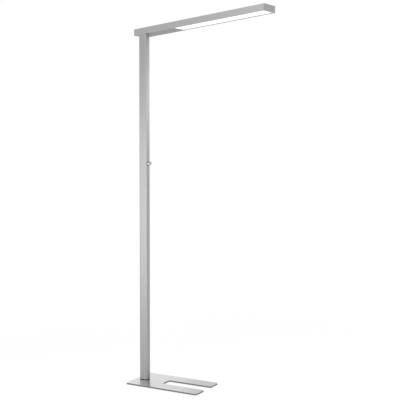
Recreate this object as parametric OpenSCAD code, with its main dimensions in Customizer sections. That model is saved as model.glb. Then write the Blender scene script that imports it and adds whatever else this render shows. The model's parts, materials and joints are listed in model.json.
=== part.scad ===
// Office floor lamp: a slotted steel base, one slim column, and a long flat head that lights down and up.
// The origin lies on the floor under the column's axis. The head and the base's prongs point along +X.

/* [Overall] */
// Height from the floor to the head's top
overall_h = 1950; // [1500:5:2200]

/* [Base] */
// Length of the plate
base_l = 475; // [400:5:600]
// Width of the plate
base_w = 206; // [180:2:300]
// Thickness of the plate
base_t = 8; // [7:0.5:14]
// Distance from the column's axis to the plate's rear edge
base_back = 50; // [40:1:80]
// Length of the slot between the prongs
slot_l = 278; // [120:2:290]
// Width of the slot
slot_w = 62; // [30:1:90]
// Corner radius at the rear
rear_corner_r = 6; // [1:0.5:20]
// Corner radius at the prongs' outer corners
prong_corner_r = 14; // [2:0.5:20]
// Corner radius at the prongs' inner corners
prong_inner_r = 8; // [2:0.5:12]
// Corner radius at the slot's closed end
slot_corner_r = 8; // [1:0.5:10]
// Thickness of the anti-slip pads
pad_t = 1.5; // [1:0.25:4]
// Diameter of the round pads
pad_d = 24; // [14:1:30]
// Distance from a round pad's centre to the plate's edges
pad_inset = 24; // [18:1:34]
// Length of the middle pad, which covers the bolt heads
foot_pad_l = 66; // [56:1:76]
// Width of the middle pad
foot_pad_w = 40; // [24:1:60]

/* [Column] */
// Size of the column along the head
column_w = 50; // [46:1:70]
// Size of the column across the head
column_d = 36; // [34:1:50]
// Wall of the column
column_wall = 2.5; // [2:0.25:3]
// Radius of the column's upright edges
column_r = 7.5; // [5:0.5:12]
// Height of the dark gap under the column
spacer_t = 3; // [2:0.5:8]
// How far the spacer lies behind the column's sides
spacer_inset = 2; // [1:0.5:4]

/* [Blocks in the column] */
// Height of the foot block
foot_block_h = 78; // [72:1:120]
// Height of the head block
head_block_h = 62; // [58:1:100]
// Distance from a block's free end to its nearest flat screw
block_screw_end = 12; // [8:1:14]
// Spacing of a block's two flat screws
block_screw_pitch = 22; // [14:1:24]
// Length of the wire passage through the head
passage_l = 21; // [18:0.5:22]
// Width of the wire passage
passage_w = 12; // [10:0.5:16]

/* [Fasteners] */
// Diameter of the bolts through the base
base_bolt_d = 8; // [6:1:8]
// Length of those bolts
base_bolt_l = 34; // [28:1:36]
// Spacing of those bolts
base_bolt_pitch = 26; // [20:1:28]
// Diameter of the screws in the blocks
block_screw_d = 5; // [4:0.5:5]
// Length of the column's flat screws
flat_screw_l = 12; // [8:1:12]
// Length of the clamp screws
clamp_screw_l = 20; // [16:1:24]
// Spacing of the clamp screws
clamp_screw_pitch = 34; // [32:1:35]
// Diameter of the small screws in the head
small_screw_d = 3; // [2.5:0.5:3]

/* [Cable inlet] */
// Bore of the gland, for the supply cord
gland_bore = 7.5; // [5:0.5:8]
// Diameter of the gland's threaded body
gland_d = 12; // [11:0.5:14]
// Diameter of the gland's flange
gland_flange_d = 18; // [16:0.5:20]
// Thickness of the flange
gland_flange_t = 2.5; // [1.5:0.5:4]
// Thickness of the gland's nut
gland_nut_t = 4; // [3:0.5:6]
// Height of the gland's axis above the foot block
inlet_rise = 30; // [24:1:50]
// Size of the gland's nut across its flats
gland_nut_af = 16.5; // [15:0.5:20]
// Height of the inlet terminal
inlet_terminal_h = 14; // [8:1:14]
// Length of the inlet terminal
inlet_terminal_l = 20; // [18:1:24]
// Width of the inlet terminal
inlet_terminal_w = 15.5; // [13:0.5:20]
// Diameter of a terminal's wire holes
wire_hole_d = 3; // [2:0.5:3.5]
// Spacing of the inlet terminal's wire holes
wire_hole_pitch = 4; // [3.6:0.1:4.5]

/* [Dimmer] */
// Height of the knob's axis above the floor
knob_z = 1211; // [900:1:1400]
// Diameter of the knob
knob_d = 22; // [19:0.5:24]
// Distance from the column's side to the knob's front
knob_reach = 15.5; // [12:0.25:18]
// Gap between the column's side and the knob
knob_gap = 1.8; // [1.6:0.1:2.2]
// Radius of the knob's front edge
knob_edge_r = 1.5; // [0.5:0.25:2]
// Travel of the knob when it is pushed
push_travel = 1.2; // [0.6:0.1:1.2]
// Diameter of the shaft
shaft_d = 6; // [5:0.5:6]
// Diameter of the shaft's pin in the plunger
shaft_pin_d = 3; // [2:0.5:3]
// Diameter of the dimmer's threaded bushing
bushing_d = 9; // [8.5:0.5:9.5]
// Thickness of the bushing's washer
washer_t = 0.6; // [0.4:0.1:1]
// Diameter of the bushing's washer
washer_d = 15; // [14:0.5:15.5]
// Thickness of the bushing's nut
dimmer_nut_t = 2; // [1.5:0.25:2.5]
// Size of the bushing's nut across its flats
dimmer_nut_af = 12; // [11.5:0.5:12.5]
// How far the bushing stands out of its nut
bushing_proud = 1.2; // [0.4:0.1:1.5]
// Gap round the nut in the knob's recess
recess_gap = 1.4; // [1:0.1:1.6]
// Wall in front of the shaft in the knob
knob_front_t = 2.5; // [1.5:0.25:3]
// Length of the knob's grub screw
grub_l = 4.5; // [3:0.5:5]
// Size of the dimmer's body along the column
dimmer_h = 18; // [17:0.5:24]
// Size of the dimmer's body across the column
dimmer_w = 17; // [17:0.5:20]
// Depth of the dimmer's body
dimmer_t = 10; // [9:0.5:11]
// Width of the square chamber in the body
chamber_w = 13; // [12:0.5:14]
// Thickness of the body's front wall
dimmer_front_t = 2; // [1.5:0.25:2.5]
// Thickness of the rear cover
dimmer_cover_t = 1.5; // [1:0.25:2]
// Thickness of the plunger
plunger_t = 2; // [1.5:0.25:2.5]
// Wire of the return spring
spring_wire = 0.7; // [0.5:0.1:0.9]
// Mean diameter of the return spring
spring_d = 8; // [6:0.5:9]
// Length of the dimmer's circuit board
dimmer_board_l = 56; // [40:1:70]
// Depth of the connector on that board
connector_t = 5; // [4:0.5:6]
// Width of that connector
connector_w = 8.5; // [7:0.5:12]
// Height of that connector
connector_h = 12; // [8:1:14]
// Distance from that connector to the board's upper edge
connector_end = 6; // [2:1:8]
// Thickness of the circuit boards
board_t = 1.6; // [1:0.2:2]

/* [Head] */
// Length of the head
head_l = 822; // [600:1:1200]
// Width of the head
head_w = 107; // [100:1:140]
// Height of the head
head_h = 34.5; // [32:0.5:40]
// Distance from the column's axis to the head's near end
head_back = 57; // [45:1:80]
// How far the column's front stands behind the head's front side
front_step = 0.5; // [0:0.25:3]
// Wall and floor of the housing
head_wall = 2; // [1.5:0.25:2.5]
// Thickness of the end caps
end_cap_t = 3; // [2:0.5:5]
// Radius of the end caps' upright edges
end_cap_r = 1; // [0.5:0.25:3]
// Diameter of the pegs that hold the end caps
peg_d = 3; // [2:0.25:3.5]
// Length of those pegs
peg_l = 9; // [4:0.5:14]
// Size of the square ribs that hold the pegs and carry the tray
rib_size = 7; // [6:0.5:8]
// Height of the ribs' upper faces above the head's underside
tray_seat = 22; // [21.5:0.5:23]
// Width of the ledges that carry the top's covers
ledge_w = 3; // [2:0.5:4]
// Thickness of the ledges
ledge_t = 1.5; // [1:0.25:2]
// Length of the blank part of the underside, measured from the near end
bay_l = 267; // [260:0.5:320]

/* [Light] */
// Width of the metal rim beside the diffuser
rim_w = 5; // [4:0.5:10]
// Width of the metal rim at the diffuser's far end
far_rim_w = 5; // [4:0.5:10]
// Thickness of the diffuser
diffuser_t = 2; // [1:0.25:3]
// Height of the sills that carry the diffuser
sill_h = 2; // [1:0.25:3]
// Width of the sills
sill_w = 1.5; // [1:0.25:2]
// Thickness of the opal cover in the top
top_opal_t = 3; // [2:0.25:3.5]
// Thickness of the sheet of the top cover
cover_sheet = 1.5; // [1:0.25:2]
// Thickness of the LED tray
tray_t = 1.5; // [1:0.25:2]
// Width of one LED board
led_board_w = 18; // [12:1:24]
// Spacing of the two boards for direct light
led_board_pitch = 40; // [30:1:44]
// Distance from the tray's near end to the LED boards
led_board_start = 14; // [10:1:24]
// Distance from the LED boards to the tray's far end
led_board_end = 8; // [4:1:24]
// Length of the connector on an LED board
board_connector_l = 6; // [4:0.5:7]
// Width of that connector
board_connector_w = 8; // [6:0.5:10]
// Depth of that connector
board_connector_t = 4.5; // [3.5:0.25:5]
// Distance from the tray's ends to its outer screws
tray_screw_end = 30; // [20:1:60]
// Length of the tray's screws
tray_screw_l = 4; // [3:0.5:5]
// Number of LEDs along one board
led_count = 24; // [8:1:36]
// Size of one LED along and across its board
led_size = 3.5; // [2:0.5:5]
// Thickness of one LED
led_t = 0.8; // [0.4:0.1:1]

/* [Driver bay] */
// Length of the driver
driver_l = 150; // [100:1:170]
// Width of the driver
driver_w = 44; // [30:1:50]
// Height of the driver
driver_h = 22; // [16:1:24]
// Distance from the driver to the divider
driver_gap = 14; // [13:1:20]
// Length of the driver's screws
driver_screw_l = 4; // [3:0.5:4]
// Length of the driver's mounting ears
ear_l = 9; // [8:0.5:10]
// Thickness of those ears
ear_t = 2; // [1:0.25:3]
// Thickness of the divider
divider_t = 1.5; // [1:0.25:2]
// Length of the head terminal
terminal_l = 38; // [38:1:44]
// Width of the head terminal
terminal_w = 18; // [14:1:22]
// Height of the head terminal
terminal_h = 18; // [16:1:20]
// Number of poles in the head terminal
pole_count = 5; // [3:1:6]
// Thickness of the clamp plate
clamp_t = 3; // [2:0.5:5]
// Length of the clamp plate
clamp_l = 50; // [50:1:56]
// Width of the clamp plate
clamp_w = 26; // [20:1:30]

/* [Cables] */
// Diameter of the cable up the column
column_cable_d = 6.5; // [5:0.5:7]
// Diameter of the dimmer's cable
control_cable_d = 4; // [3:0.5:4]
// Bend radius of the cables at the middle
cable_bend_r = 12; // [9:0.5:14]
// Free space between the two cables in the column
lane_gap = 1.5; // [0.5:0.25:2]
// Diameter of one LED lead
lead_d = 2; // [1.5:0.25:2.5]
// Diameter of one of the driver's leads
driver_lead_d = 3; // [2:0.25:4]
// Spacing of the driver's leads
driver_lead_pitch = 8; // [5:0.5:10]
// Length that a bent lead runs straight at its ends
lead_straight = 3; // [2:0.5:4]

/* [Fits] */
// Gap between a part and the seat it slides into
slide_gap = 0.3; // [0.1:0.05:0.5]
// Gap round a screw in its hole, measured on the radius
screw_gap = 0.1; // [0.05:0.05:0.2]
// Gap round the turning shaft, measured on the radius
shaft_gap = 0.05; // [0.02:0.01:0.1]
// Gap between faces that rest on each other but move apart
rest_gap = 0.05; // [0.02:0.01:0.2]

/* [Hidden] */

$fn = 48;

// Heights of the main joints
plate_top = pad_t + base_t;
column_bottom = plate_top + spacer_t;
head_bottom = overall_h - head_h;
column_l = head_bottom - column_bottom;
foot_block_top = column_bottom + foot_block_h;
head_block_bottom = head_bottom - head_block_h;
inlet_z = foot_block_top + inlet_rise;

// Plan of the base
base_front = base_l - base_back;
slot_end = base_front - slot_l;
prong_mid = (slot_w + base_w) / 4;

// Inside of the column
inner_w = column_w - 2 * column_wall;
inner_d = column_d - 2 * column_wall;
inner_r = column_r - column_wall;

// Plan of the head
head_front = -column_d / 2 - front_step;
head_mid = head_front + head_w / 2;
head_near = -head_back;
head_far = head_l - head_back;
inside_near = head_near + end_cap_t;
inside_far = head_far - end_cap_t;
housing_l = head_l - 2 * end_cap_t;
bay_end = head_near + bay_l;
light_l = head_far - far_rim_w - bay_end;
light_w = head_w - 2 * rim_w;
inner_head_w = head_w - 2 * head_wall;
rib_axis_y = head_w / 2 - head_wall - rib_size / 2;
rib_axis_z = tray_seat - rib_size / 2;
ledge_z = head_h - top_opal_t;
tray_x = bay_end + slide_gap;
tray_l = inside_far - slide_gap - tray_x;
led_board_x = tray_x + led_board_start;
led_board_l = tray_l - led_board_start - led_board_end;
lead_z = head_bottom + tray_seat - board_t - board_connector_t / 2;
upper_lead_z = head_bottom + tray_seat + tray_t + board_t + board_connector_w / 4;

// Parts of the dimmer, along its axis from the column's middle
side_x = column_w / 2;
inner_side_x = side_x - column_wall;
dimmer_back = inner_side_x - dimmer_t;
cover_back = dimmer_back - dimmer_cover_t;
board_back = cover_back - board_t;
chamber_front = inner_side_x - dimmer_front_t;
bushing_l = washer_t + dimmer_nut_t + bushing_proud;
plunger_front = chamber_front - slide_gap;
plunger_back = plunger_front - plunger_t;
knob_back = side_x + knob_gap;
knob_front = side_x + knob_reach;
recess_end = side_x + bushing_l + push_travel + slide_gap;
nut_r = dimmer_nut_af / sqrt(3);
recess_r = max(nut_r, washer_d / 2) + recess_gap / 2;
shaft_end = knob_front - knob_front_t;
grub_x = (recess_end + knob_front - knob_edge_r) / 2;
connector_z = knob_z - dimmer_h / 2 + dimmer_board_l - connector_h - connector_end;

// Lanes of the two cables inside the column
control_x = board_back - connector_t / 2;
supply_x = control_x - (control_cable_d + column_cable_d) / 2 - lane_gap;
passage_x = (control_x + control_cable_d / 2 + supply_x - column_cable_d / 2) / 2;

// Places in the driver bay
driver_x1 = bay_end - driver_gap;
driver_x0 = driver_x1 - driver_l;
floor_z = head_bottom + head_wall;
terminal_x0 = (supply_x + control_x - terminal_l) / 2;
terminal_y0 = clamp_w / 2 + cable_bend_r;
cable_z = floor_z + terminal_h / 2;

// Screw heads, as shares of the screw's diameter
flat_head_ratio = 1.9;
flat_depth_ratio = 0.45;
button_head_ratio = 1.9;
button_top_ratio = 1.37;
button_depth_ratio = 0.55;
key_ratio = 0.55;
key_depth_ratio = 0.5;

// Sides of a cable, and steps in one of its bends
tube_sides = 8;
bend_steps = 5;
// Turns of the return spring, steps in one turn and sides of its wire
spring_turns = 3;
turn_steps = 10;
wire_sides = 6;

// The gland's thread stands this far out of its nut
thread_proud = 1;
// Cuts reach this far past a face
past = 1;
// Solids that form one piece reach this far into each other
weld = 0.01;

// ---------- shared shapes ----------

// A rectangle about the origin with one radius at all corners
module round_rect(w, d, r) {
    difference() {
        square([w, d], center = true);
        for (sx = [-1, 1], sy = [-1, 1])
            translate([sx * (w / 2 - r), sy * (d / 2 - r)]) corner_trim(r, sx, sy);
    }
}

// What rounding takes off one corner: sx and sy say which way the corner points
module corner_trim(r, sx, sy) {
    difference() {
        translate([sx > 0 ? 0 : -r, sy > 0 ? 0 : -r]) square(r);
        circle(r);
    }
}

// A screw with a flat head: the head's face is at the origin and the shank points down
module flat_screw(d, l) {
    head_t = d * flat_depth_ratio;
    difference() {
        union() {
            translate([0, 0, -head_t]) cylinder(d1 = d, d2 = d * flat_head_ratio, h = head_t);
            translate([0, 0, -l]) cylinder(d = d, h = l - head_t);
        }
        translate([0, 0, -d * key_depth_ratio]) cylinder(d = d * key_ratio, h = d, $fn = 6);
    }
}

// The hole for a flat screw, with its countersink
module flat_hole(d, l) {
    head_t = d * flat_depth_ratio;
    wide = d + 2 * screw_gap;
    translate([0, 0, -head_t]) cylinder(d1 = wide, d2 = d * flat_head_ratio + 2 * screw_gap, h = head_t);
    translate([0, 0, -l]) cylinder(d = wide, h = l - head_t + weld);
    cylinder(d = d * flat_head_ratio + 2 * screw_gap, h = past);
}

// A screw with a button head that stands on the origin: the shank points down
module button_screw(d, l) {
    head_t = d * button_depth_ratio;
    difference() {
        union() {
            cylinder(d1 = d * button_head_ratio, d2 = d * button_top_ratio, h = head_t);
            translate([0, 0, -l]) cylinder(d = d, h = l + weld);
        }
        translate([0, 0, head_t / 3]) cylinder(d = d * key_ratio, h = head_t, $fn = 6);
    }
}

// Turns what points along +Z so that it points along +X
module along_x() {
    rotate([0, 90, 0]) children();
}

// A cable along a list of points: one closed skin of rings
function unit(v) = v / norm(v);
function heading(points, i) =
    i == 0 ? unit(points[1] - points[0])
    : i == len(points) - 1 ? unit(points[i] - points[i - 1])
    : unit(unit(points[i] - points[i - 1]) + unit(points[i + 1] - points[i]));
function ring(centre, along, side, r, sides) = [
    for (k = [0 : sides - 1])
        let (a = k * 360 / sides, u = unit(side - (side * along) * along), v = cross(along, u))
        centre + r * (cos(a) * u + sin(a) * v)
];
module swept_tube(points, d, side, sides = tube_sides) {
    count = len(points);
    skin = [for (i = [0 : count - 1]) each ring(points[i], heading(points, i), side, d / 2, sides)];
    start = [[for (k = [0 : sides - 1]) k]];
    finish = [[for (k = [sides - 1 : -1 : 0]) (count - 1) * sides + k]];
    walls = [
        for (i = [0 : count - 2], k = [0 : sides - 1])
            let (a = i * sides + k, b = i * sides + (k + 1) % sides)
            each [[a, b + sides, b], [a, a + sides, b + sides]]
    ];
    polyhedron(skin, concat(start, walls, finish));
}

// Points of a quarter bend that leaves along one direction and arrives along another
function quarter(corner, from_dir, to_dir, r, steps = bend_steps) = [
    for (i = [0 : steps])
        let (a = 90 * i / steps)
        corner - r * from_dir + r * to_dir + r * (sin(a) * from_dir - cos(a) * to_dir)
];

// ---------- base ----------

// Pads: round ones near the edges and one under the column
module base_pads() {
    color("dimgray") {
        for (side = [-1, 1]) {
            round_pad(-base_back + pad_inset, side * (base_w / 2 - pad_inset));
            round_pad(slot_end, side * prong_mid);
            round_pad(base_front - pad_inset, side * prong_mid);
        }
        linear_extrude(pad_t) round_rect(foot_pad_l, foot_pad_w, rear_corner_r);
    }
}

module round_pad(x, y) {
    translate([x, y, 0]) cylinder(d = pad_d, h = pad_t);
}

module base_plate() {
    color("silver") difference() {
        translate([0, 0, pad_t]) linear_extrude(base_t) base_outline();
        base_bolt_places() flat_hole(base_bolt_d, base_t + past);
    }
}

module base_outline() {
    difference() {
        translate([-base_back, -base_w / 2]) square([base_l, base_w]);
        for (side = [-1, 1]) {
            translate([-base_back + rear_corner_r, side * (base_w / 2 - rear_corner_r)])
                corner_trim(rear_corner_r, -1, side);
            translate([base_front - prong_corner_r, side * (base_w / 2 - prong_corner_r)])
                corner_trim(prong_corner_r, 1, side);
            translate([base_front - prong_inner_r, side * (slot_w / 2 + prong_inner_r)])
                corner_trim(prong_inner_r, 1, -side);
        }
        difference() {
            translate([slot_end, -slot_w / 2]) square([slot_l + past, slot_w]);
            for (side = [-1, 1])
                translate([slot_end + slot_corner_r, side * (slot_w / 2 - slot_corner_r)])
                    corner_trim(slot_corner_r, -1, side);
        }
    }
}

// Turns a flat screw so that its head lies in the plate's underside
module base_bolt_places() {
    for (side = [-1, 1])
        translate([side * base_bolt_pitch / 2, 0, pad_t + slide_gap]) rotate([180, 0, 0]) children();
}

module base_bolts() {
    color("gray") base_bolt_places() flat_screw(base_bolt_d, base_bolt_l);
}

module foot_spacer() {
    color("black") difference() {
        translate([0, 0, plate_top]) linear_extrude(spacer_t)
            round_rect(column_w - 2 * spacer_inset, column_d - 2 * spacer_inset, column_r - spacer_inset);
        base_bolt_places() flat_hole(base_bolt_d, base_bolt_l);
    }
}

// ---------- column ----------

module column_outline() {
    round_rect(column_w, column_d, column_r);
}

// The outline of a block that slides into the column
module block_outline() {
    round_rect(inner_w - 2 * slide_gap, inner_d - 2 * slide_gap, inner_r);
}

module column_profile() {
    color("silver") difference() {
        translate([0, 0, column_bottom]) linear_extrude(column_l) difference() {
            column_outline();
            round_rect(inner_w, inner_d, inner_r);
        }
        foot_screw_places() flat_hole(block_screw_d, flat_screw_l);
        head_block_screw_places() flat_hole(block_screw_d, flat_screw_l);
        translate([-side_x - past, 0, inlet_z]) along_x()
            cylinder(d = gland_d + 2 * screw_gap, h = column_wall + 2 * past);
        on_knob_axis(inner_side_x - past)
            cylinder(d = bushing_d + 2 * screw_gap, h = column_wall + 2 * past);
    }
}

// Turns a flat screw so that its head lies in the column's rear side
module rear_screw_place(z) {
    translate([-side_x, 0, z]) rotate([0, -90, 0]) children();
}

module foot_screw_places() {
    for (i = [0, 1]) rear_screw_place(foot_block_top - block_screw_end - i * block_screw_pitch) children();
}

module head_block_screw_places() {
    for (i = [0, 1]) rear_screw_place(head_block_bottom + block_screw_end + i * block_screw_pitch) children();
}

module foot_block() {
    color("darkgray") difference() {
        translate([0, 0, column_bottom]) linear_extrude(foot_block_h) block_outline();
        base_bolt_places() flat_hole(base_bolt_d, base_bolt_l + past);
        foot_screw_places() flat_hole(block_screw_d, flat_screw_l + past);
    }
}

module foot_screws() {
    color("gray") foot_screw_places() flat_screw(block_screw_d, flat_screw_l);
}

// ---------- cable inlet ----------

module cable_gland() {
    body_l = column_wall + gland_nut_t + thread_proud;
    color("black") translate([-side_x, 0, inlet_z]) along_x() difference() {
        union() {
            translate([0, 0, -gland_flange_t]) cylinder(d = gland_flange_d, h = gland_flange_t);
            cylinder(d = gland_d, h = body_l);
        }
        translate([0, 0, -gland_flange_t - past])
            cylinder(d = gland_bore, h = gland_flange_t + body_l + 2 * past);
    }
}

module gland_nut() {
    color("darkslategray") translate([-inner_side_x, 0, inlet_z]) along_x() difference() {
        cylinder(r = gland_nut_af / sqrt(3), h = gland_nut_t, $fn = 6);
        translate([0, 0, -past]) cylinder(d = gland_d + 2 * screw_gap, h = gland_nut_t + 2 * past);
    }
}

module inlet_terminal() {
    x0 = supply_x - inlet_terminal_l / 2;
    color("white") difference() {
        translate([x0, -inlet_terminal_w / 2, foot_block_top])
            cube([inlet_terminal_l, inlet_terminal_w, inlet_terminal_h]);
        for (i = [-1, 0, 1])
            translate([x0 - past, i * wire_hole_pitch, foot_block_top + inlet_terminal_h / 3]) along_x()
                cylinder(d = wire_hole_d, h = inlet_terminal_l / 3);
    }
}

// Up the column, through the head block, and over to the head terminal
module column_cable() {
    top = [supply_x, 0, cable_z];
    color("dimgray") swept_tube(concat(
        [[supply_x, 0, foot_block_top + inlet_terminal_h]],
        quarter(top, [0, 0, 1], [0, 1, 0], cable_bend_r),
        [[supply_x, terminal_y0, cable_z]]), column_cable_d, [1, 0, 0]);
}

// ---------- dimmer ----------

module on_knob_axis(x) {
    translate([x, 0, knob_z]) along_x() children();
}

module dimmer_body() {
    color("darkslategray") difference() {
        union() {
            translate([dimmer_back, -dimmer_w / 2, knob_z - dimmer_h / 2])
                cube([dimmer_t, dimmer_w, dimmer_h]);
            on_knob_axis(inner_side_x) cylinder(d = bushing_d, h = column_wall + bushing_l);
        }
        translate([dimmer_back - past, -chamber_w / 2, knob_z - chamber_w / 2])
            cube([chamber_front - dimmer_back + past, chamber_w, chamber_w]);
        on_knob_axis(chamber_front - past)
            cylinder(d = shaft_d + 2 * shaft_gap, h = dimmer_front_t + column_wall + bushing_l + 2 * past);
    }
}

module dimmer_cover() {
    color("dimgray") translate([cover_back, -dimmer_w / 2, knob_z - dimmer_h / 2])
        cube([dimmer_cover_t, dimmer_w, dimmer_h]);
}

module dimmer_washer() {
    color("silver") on_knob_axis(side_x) difference() {
        cylinder(d = washer_d, h = washer_t);
        translate([0, 0, -past]) cylinder(d = bushing_d + 2 * screw_gap, h = washer_t + 2 * past);
    }
}

module dimmer_nut() {
    color("silver") on_knob_axis(side_x + washer_t) difference() {
        cylinder(r = nut_r, h = dimmer_nut_t, $fn = 6);
        translate([0, 0, -past]) cylinder(d = bushing_d + 2 * screw_gap, h = dimmer_nut_t + 2 * past);
    }
}

// A square plate that the shaft pushes back: it can't turn in its chamber
module dimmer_plunger() {
    w = chamber_w - 2 * slide_gap;
    color("white") difference() {
        translate([plunger_back, -w / 2, knob_z - w / 2]) cube([plunger_t, w, w]);
        on_knob_axis(plunger_back - past) cylinder(d = shaft_pin_d + 2 * shaft_gap, h = plunger_t + 2 * past);
    }
}

// A round-wire spring between the rear cover and the plunger
module dimmer_spring() {
    steps = spring_turns * turn_steps;
    first = dimmer_back + spring_wire / 2 + rest_gap;
    last = plunger_back - spring_wire / 2 - rest_gap;
    points = [
        for (i = [0 : steps])
            let (a = 360 * i / turn_steps)
            [first + (last - first) * i / steps, spring_d / 2 * cos(a), knob_z + spring_d / 2 * sin(a)]
    ];
    color("lightsteelblue") swept_tube(points, spring_wire, [1, 0, 0], wire_sides);
}

module dimmer_shaft() {
    color("lightgray") union() {
        on_knob_axis(plunger_front + rest_gap)
            cylinder(d = shaft_d, h = shaft_end - plunger_front - rest_gap);
        on_knob_axis(plunger_back)
            cylinder(d = shaft_pin_d, h = plunger_t + rest_gap + weld);
    }
}

module dimmer_knob() {
    l = knob_front - knob_back;
    r = knob_d / 2;
    color("gainsboro") difference() {
        on_knob_axis(knob_back) rotate_extrude() difference() {
            union() {
                square([r, l - knob_edge_r]);
                square([r - knob_edge_r, l]);
                translate([r - knob_edge_r, l - knob_edge_r]) circle(knob_edge_r);
            }
            translate([0, -past]) square([recess_r, recess_end - knob_back + past]);
            square([shaft_d / 2 + rest_gap, shaft_end - knob_back + rest_gap]);
        }
        translate([grub_x, 0, knob_z - r - past]) cylinder(d = small_screw_d + 2 * screw_gap, h = r);
    }
}

module knob_grub_screw() {
    color("black") translate([grub_x, 0, knob_z - shaft_d / 2 - rest_gap - grub_l]) difference() {
        cylinder(d = small_screw_d, h = grub_l);
        translate([0, 0, -past]) cylinder(d = small_screw_d * key_ratio, h = grub_l / 2, $fn = 6);
    }
}

module dimmer_board() {
    color("darkgreen") translate([board_back, -dimmer_w / 2, knob_z - dimmer_h / 2])
        cube([board_t, dimmer_w, dimmer_board_l]);
}

module dimmer_connector() {
    color("white") translate([board_back - connector_t, -connector_w / 2, connector_z])
        cube([connector_t, connector_w, connector_h]);
}

// From the connector up through the head block and over to the head terminal
module control_cable() {
    top = [control_x, 0, cable_z];
    color("gray") swept_tube(concat(
        [[control_x, 0, connector_z + connector_h]],
        quarter(top, [0, 0, 1], [0, 1, 0], cable_bend_r),
        [[control_x, terminal_y0, cable_z]]), control_cable_d, [1, 0, 0]);
}

// ---------- joint of column and head ----------

// The passage that both cables share
module wire_passage(z0, h) {
    translate([passage_x, 0, z0]) linear_extrude(h)
        round_rect(passage_l, passage_w, passage_w / 2 - weld);
}

module clamp_screw_places(z) {
    for (side = [-1, 1]) translate([side * clamp_screw_pitch / 2, 0, z]) children();
}

module head_block() {
    color("darkgray") difference() {
        translate([0, 0, head_block_bottom]) linear_extrude(head_block_h) block_outline();
        wire_passage(head_block_bottom - past, head_block_h + 2 * past);
        clamp_screw_places(head_bottom - clamp_screw_l)
            cylinder(d = block_screw_d + 2 * screw_gap, h = clamp_screw_l + past);
        head_block_screw_places() flat_hole(block_screw_d, flat_screw_l + past);
    }
}

module head_block_screws() {
    color("gray") head_block_screw_places() flat_screw(block_screw_d, flat_screw_l);
}

module clamp_plate() {
    color("slategray") difference() {
        translate([0, 0, floor_z]) linear_extrude(clamp_t) round_rect(clamp_l, clamp_w, head_wall);
        wire_passage(floor_z - past, clamp_t + 2 * past);
        clamp_screw_places(floor_z - past)
            cylinder(d = block_screw_d + 2 * screw_gap, h = clamp_t + 2 * past);
    }
}

module clamp_screws() {
    color("gray") clamp_screw_places(floor_z + clamp_t) button_screw(block_screw_d, clamp_screw_l);
}

// ---------- head ----------

// The housing's section, with its width along the first axis and its height along the second
module housing_section() {
    for (side = [-1, 1]) {
        wall_x = side > 0 ? head_w / 2 - head_wall : -head_w / 2;
        translate([wall_x, 0]) square([head_wall, head_h]);
        rib_x = side > 0 ? head_w / 2 - head_wall - rib_size : -head_w / 2 + head_wall;
        translate([rib_x - (side > 0 ? 0 : weld), tray_seat - rib_size]) square([rib_size + weld, rib_size]);
        sill_x = side > 0 ? light_w / 2 : -light_w / 2 - sill_w;
        translate([sill_x, head_wall - weld]) square([sill_w, sill_h + weld]);
        ledge_x = side > 0 ? head_w / 2 - head_wall - ledge_w : -head_w / 2 + head_wall;
        translate([ledge_x - (side > 0 ? 0 : weld), ledge_z - ledge_t]) square([ledge_w + weld, ledge_t]);
    }
    translate([-head_w / 2, 0]) square([head_w, head_wall]);
}

// Places a section of the head at a given distance along it
module along_head(x, l) {
    translate([x, head_mid, head_bottom]) rotate([90, 0, 90]) linear_extrude(l) children();
}

module head_housing() {
    color("silver") difference() {
        along_head(inside_near, housing_l) difference() {
            housing_section();
            for (side = [-1, 1]) translate([side * rib_axis_y, rib_axis_z]) circle(d = peg_d + 2 * screw_gap);
        }
        translate([bay_end, head_mid - light_w / 2, head_bottom - past])
            cube([light_l, light_w, head_wall + 2 * past]);
        wire_passage(head_bottom - past, head_wall + 2 * past);
        clamp_screw_places(head_bottom - past)
            cylinder(d = block_screw_d + 2 * screw_gap, h = head_wall + 2 * past);
        driver_screw_places() translate([0, 0, -driver_screw_l])
            cylinder(d = small_screw_d + 2 * screw_gap, h = driver_screw_l + past);
        tray_screw_places() translate([0, 0, -tray_screw_l - past])
            cylinder(d = small_screw_d + 2 * screw_gap, h = tray_screw_l + 2 * past);
    }
}

// An end cap: the plate lies in the plane X = 0 and its pegs point along +X
module end_cap() {
    difference() {
        translate([-end_cap_t, head_front, head_bottom]) cube([end_cap_t, head_w, head_h]);
        for (side = [-1, 1])
            translate([end_cap_r - end_cap_t, head_mid + side * (head_w / 2 - end_cap_r), head_bottom - past])
                linear_extrude(head_h + 2 * past) corner_trim(end_cap_r, -1, side);
    }
    for (side = [-1, 1])
        translate([-weld, head_mid + side * rib_axis_y, head_bottom + rib_axis_z]) along_x()
            cylinder(d = peg_d, h = peg_l);
}

module end_cap_near() {
    color("silver") translate([inside_near, 0, 0]) end_cap();
}

module end_cap_far() {
    color("silver") translate([inside_far, 0, 0]) mirror([1, 0, 0]) end_cap();
}

// The blank sheet and the opal sheet over the top lie on the housing's ledges
module top_cover() {
    w = inner_head_w - 2 * slide_gap;
    l = bay_end - inside_near - slide_gap;
    color("silver") translate([inside_near + slide_gap / 2, 0, 0]) {
        translate([0, head_mid - w / 2, overall_h - cover_sheet]) cube([l, w, cover_sheet]);
        for (side = [-1, 1])
            translate([0, head_mid + side * (w - cover_sheet) / 2 - cover_sheet / 2, head_bottom + ledge_z])
                cube([l, cover_sheet, head_h - ledge_z - cover_sheet + weld]);
    }
}

module indirect_cover() {
    w = inner_head_w - 2 * slide_gap;
    color("white") translate([bay_end + slide_gap / 2, head_mid - w / 2, head_bottom + ledge_z])
        cube([inside_far - bay_end - slide_gap, w, top_opal_t]);
}

// The opal sheet lies on the housing's sills, above the window
module direct_diffuser() {
    w = inner_head_w - 2 * slide_gap;
    color("white") translate([tray_x, head_mid - w / 2, floor_z + sill_h])
        cube([tray_l, w, diffuser_t]);
}

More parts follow.
